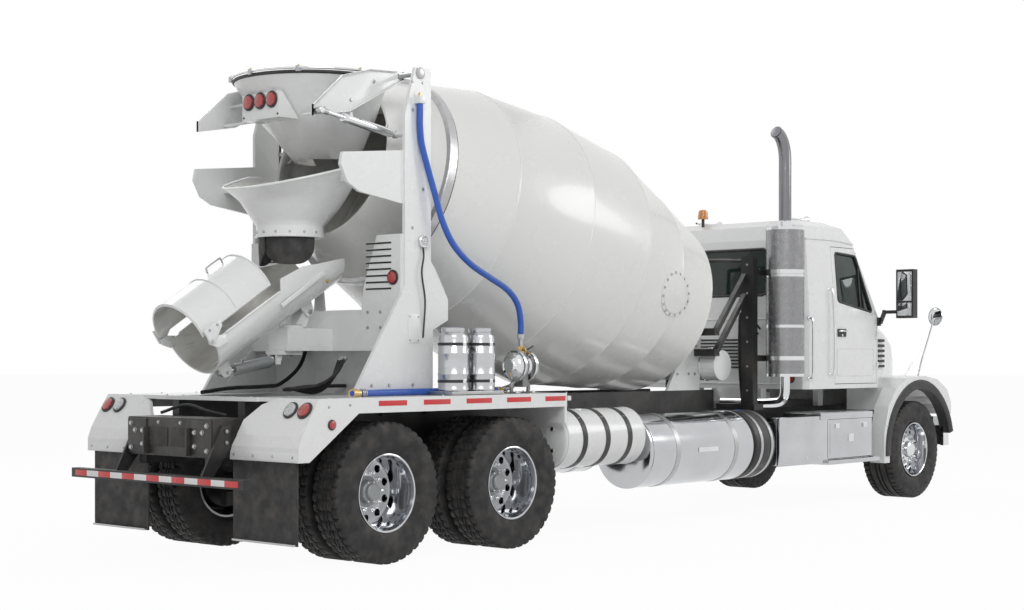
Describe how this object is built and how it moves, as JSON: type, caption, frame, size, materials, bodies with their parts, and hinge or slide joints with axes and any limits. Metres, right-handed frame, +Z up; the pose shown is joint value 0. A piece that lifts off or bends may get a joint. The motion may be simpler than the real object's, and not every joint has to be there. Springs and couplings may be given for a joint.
{
  "type": "concrete mixer truck",
  "caption": "Rear-discharge concrete mixer truck with conventional cab, tilting hood, turning drum, folding chutes and a tilting charge hopper",
  "frame": {"origin": "on the ground under the middle of the truck's bounding box", "axes": "+X forward, +Y to the truck's left, +Z up"},
  "size_m": [9.95, 2.88, 3.8192],
  "materials": {
    "body_paint": "gloss white",
    "frame_paint": "satin black",
    "tyre_rubber": "matte",
    "sheet_rubber": "matte",
    "polished_alloy": "polished",
    "bright_steel": "polished",
    "grey_metal": "satin grey",
    "cab_glass": "tinted",
    "cab_trim": "grained grey",
    "water_hose": "satin blue"
  },
  "bodies": {
    "chassis": {"chassis_frame": "frame_paint", "front_axle": "frame_paint", "rear_axles": "frame_paint", "engine": "grey_metal", "front_bumper": "polished_alloy", "underride_bar": "frame_paint", "rear_fenders": "body_paint", "water_tank": "body_paint", "cab_shell": "body_paint", "cab_interior": "cab_trim", "windshield": "cab_glass", "rear_window": "cab_glass", "exhaust_stack": "bright_steel", "exhaust_rack": "frame_paint", "front_pedestal": "body_paint", "drum_gearbox": "grey_metal", "rear_pedestal": "body_paint", "collector": "body_paint", "spout_curtain": "sheet_rubber", "wash_cans": "polished_alloy", "water_pump": "grey_metal", "delivery_hose": "water_hose", "suction_hose": "water_hose", "mud_flap_right": "sheet_rubber", "mud_flap_left": "sheet_rubber", "fuel_tank_right": "polished_alloy", "fuel_tank_left": "polished_alloy", "side_steps_right": "polished_alloy", "side_steps_left": "polished_alloy", "mirror_right": "frame_paint", "mirror_left": "frame_paint"},
    "steering_right": {"knuckle_right": "frame_paint"},
    "front_wheel_right": {"front_tyre_right": "tyre_rubber", "front_rim_right": "polished_alloy"},
    "forward_wheels_right": {"forward_tyres_right": "tyre_rubber", "forward_rims_right": "polished_alloy"},
    "rearmost_wheels_right": {"rearmost_tyres_right": "tyre_rubber", "rearmost_rims_right": "polished_alloy"},
    "door_right_body": {"door_right": "body_paint"},
    "roller_right": {"drum_roller_right": "bright_steel"},
    "steering_left": {"knuckle_left": "frame_paint"},
    "front_wheel_left": {"front_tyre_left": "tyre_rubber", "front_rim_left": "polished_alloy"},
    "forward_wheels_left": {"forward_tyres_left": "tyre_rubber", "forward_rims_left": "polished_alloy"},
    "rearmost_wheels_left": {"rearmost_tyres_left": "tyre_rubber", "rearmost_rims_left": "polished_alloy"},
    "door_left_body": {"door_left": "body_paint"},
    "roller_left": {"drum_roller_left": "bright_steel"},
    "mixing_drum": {"drum": "body_paint"},
    "tilting_hood": {"hood": "body_paint"},
    "charge_hopper": {"hopper": "body_paint"},
    "hopper_ram_foot": {"hopper_ram_barrel": "polished_alloy"},
    "hopper_ram_piston": {"hopper_ram_rod": "bright_steel"},
    "chute_turntable": {"chute_swivel": "body_paint"},
    "discharge_chute": {"main_chute": "body_paint"},
    "extension_chute": {"fold_chute": "body_paint"},
    "chute_ram_foot": {"chute_ram_barrel": "grey_metal"},
    "chute_ram_piston": {"chute_ram_rod": "bright_steel"}
  },
  "joints": [
    {"name": "steer_right", "type": "hinge", "parent": "chassis", "child": "steering_right", "pos_m": [4.097, -0.85, 0.52], "axis": [0, 0, 1], "range_deg": [-32, 32]},
    {"name": "front_wheel_right_spin", "type": "hinge", "parent": "steering_right", "child": "front_wheel_right", "pos_m": [4.097, -1.008, 0.52], "axis": [0, 1, 0], "continuous": true},
    {"name": "forward_wheels_right_spin", "type": "hinge", "parent": "chassis", "child": "forward_wheels_right", "pos_m": [-2.403, -0.915, 0.52], "axis": [0, 1, 0], "continuous": true},
    {"name": "rearmost_wheels_right_spin", "type": "hinge", "parent": "chassis", "child": "rearmost_wheels_right", "pos_m": [-3.775, -0.915, 0.52], "axis": [0, 1, 0], "continuous": true},
    {"name": "door_right_hinge", "type": "hinge", "parent": "chassis", "child": "door_right_body", "pos_m": [3.512, -1.06, 1.95], "axis": [0, 0, 1], "range_deg": [0, 68]},
    {"name": "roller_right_spin", "type": "hinge", "parent": "chassis", "child": "roller_right", "pos_m": [-2.98699, -0.55391, 2.12642], "axis": [-0.9675, 0, 0.2529], "continuous": true},
    {"name": "steer_left", "type": "hinge", "parent": "chassis", "child": "steering_left", "pos_m": [4.097, 0.85, 0.52], "axis": [0, 0, 1], "range_deg": [-32, 32]},
    {"name": "front_wheel_left_spin", "type": "hinge", "parent": "steering_left", "child": "front_wheel_left", "pos_m": [4.097, 1.008, 0.52], "axis": [0, 1, 0], "continuous": true},
    {"name": "forward_wheels_left_spin", "type": "hinge", "parent": "chassis", "child": "forward_wheels_left", "pos_m": [-2.403, 0.915, 0.52], "axis": [0, 1, 0], "continuous": true},
    {"name": "rearmost_wheels_left_spin", "type": "hinge", "parent": "chassis", "child": "rearmost_wheels_left", "pos_m": [-3.775, 0.915, 0.52], "axis": [0, 1, 0], "continuous": true},
    {"name": "door_left_hinge", "type": "hinge", "parent": "chassis", "child": "door_left_body", "pos_m": [3.512, 1.06, 1.95], "axis": [0, 0, -1], "range_deg": [0, 68]},
    {"name": "roller_left_spin", "type": "hinge", "parent": "chassis", "child": "roller_left", "pos_m": [-2.98699, 0.55391, 2.12642], "axis": [-0.9675, 0, 0.2529], "continuous": true},
    {"name": "drum_spin", "type": "hinge", "parent": "chassis", "child": "mixing_drum", "pos_m": [0.762, 0, 2.028], "axis": [-0.9675, 0, 0.2529], "continuous": true},
    {"name": "hood_tilt", "type": "hinge", "parent": "chassis", "child": "tilting_hood", "pos_m": [4.825, 0, 0.87], "axis": [0, 1, 0], "range_deg": [0, 55]},
    {"name": "hopper_tilt", "type": "hinge", "parent": "chassis", "child": "charge_hopper", "pos_m": [-3.145, 0, 3.69], "axis": [0, 1, 0], "range_deg": [0, 55]},
    {"name": "hopper_ram_swing", "type": "hinge", "parent": "chassis", "child": "hopper_ram_foot", "pos_m": [-3.255, -0.74, 3.22], "axis": [0, 1, 0], "range_deg": [0, 46.8]},
    {"name": "hopper_ram_stroke", "type": "slide", "parent": "hopper_ram_foot", "child": "hopper_ram_piston", "axis": [-0.9897, 0, 0.1432], "range_m": [0, 0.4244]},
    {"name": "chute_swing", "type": "hinge", "parent": "chassis", "child": "chute_turntable", "pos_m": [-3.675, 0, 1.735], "axis": [0, 0, 1], "range_deg": [-70, 70]},
    {"name": "chute_lift", "type": "hinge", "parent": "chute_turntable", "child": "discharge_chute", "pos_m": [-3.55226, 0, 1.86582], "axis": [0, 1, 0], "range_deg": [-3, 24]},
    {"name": "chute_fold", "type": "hinge", "parent": "discharge_chute", "child": "extension_chute", "pos_m": [-4.67641, 0, 1.62679], "axis": [0, -1, 0], "range_deg": [0, 180]},
    {"name": "chute_ram_swing", "type": "hinge", "parent": "chute_turntable", "child": "chute_ram_foot", "pos_m": [-3.835, 0, 1.485], "axis": [0, 1, 0], "range_deg": [-4.2, 33.59]},
    {"name": "chute_ram_stroke", "type": "slide", "parent": "chute_ram_foot", "child": "chute_ram_piston", "axis": [-0.9843, 0, -0.1764], "range_m": [-0.0215, 0.1716]}
  ],
  "couplings": [
    {"joint": "roller_right_spin", "follows": "drum_spin", "ratio": -7.08},
    {"joint": "roller_left_spin", "follows": "drum_spin", "ratio": -7.08},
    {"joint": "steer_left", "follows": "steer_right", "ratio": 1},
    {"joint": "hopper_ram_swing", "follows": "hopper_tilt", "ratio": 0.85},
    {"joint": "hopper_ram_stroke", "follows": "hopper_tilt", "m_per_rad": 0.4417},
    {"joint": "chute_ram_swing", "follows": "chute_lift", "ratio": 1.3982},
    {"joint": "chute_ram_stroke", "follows": "chute_lift", "m_per_rad": 0.4093}
  ]
}
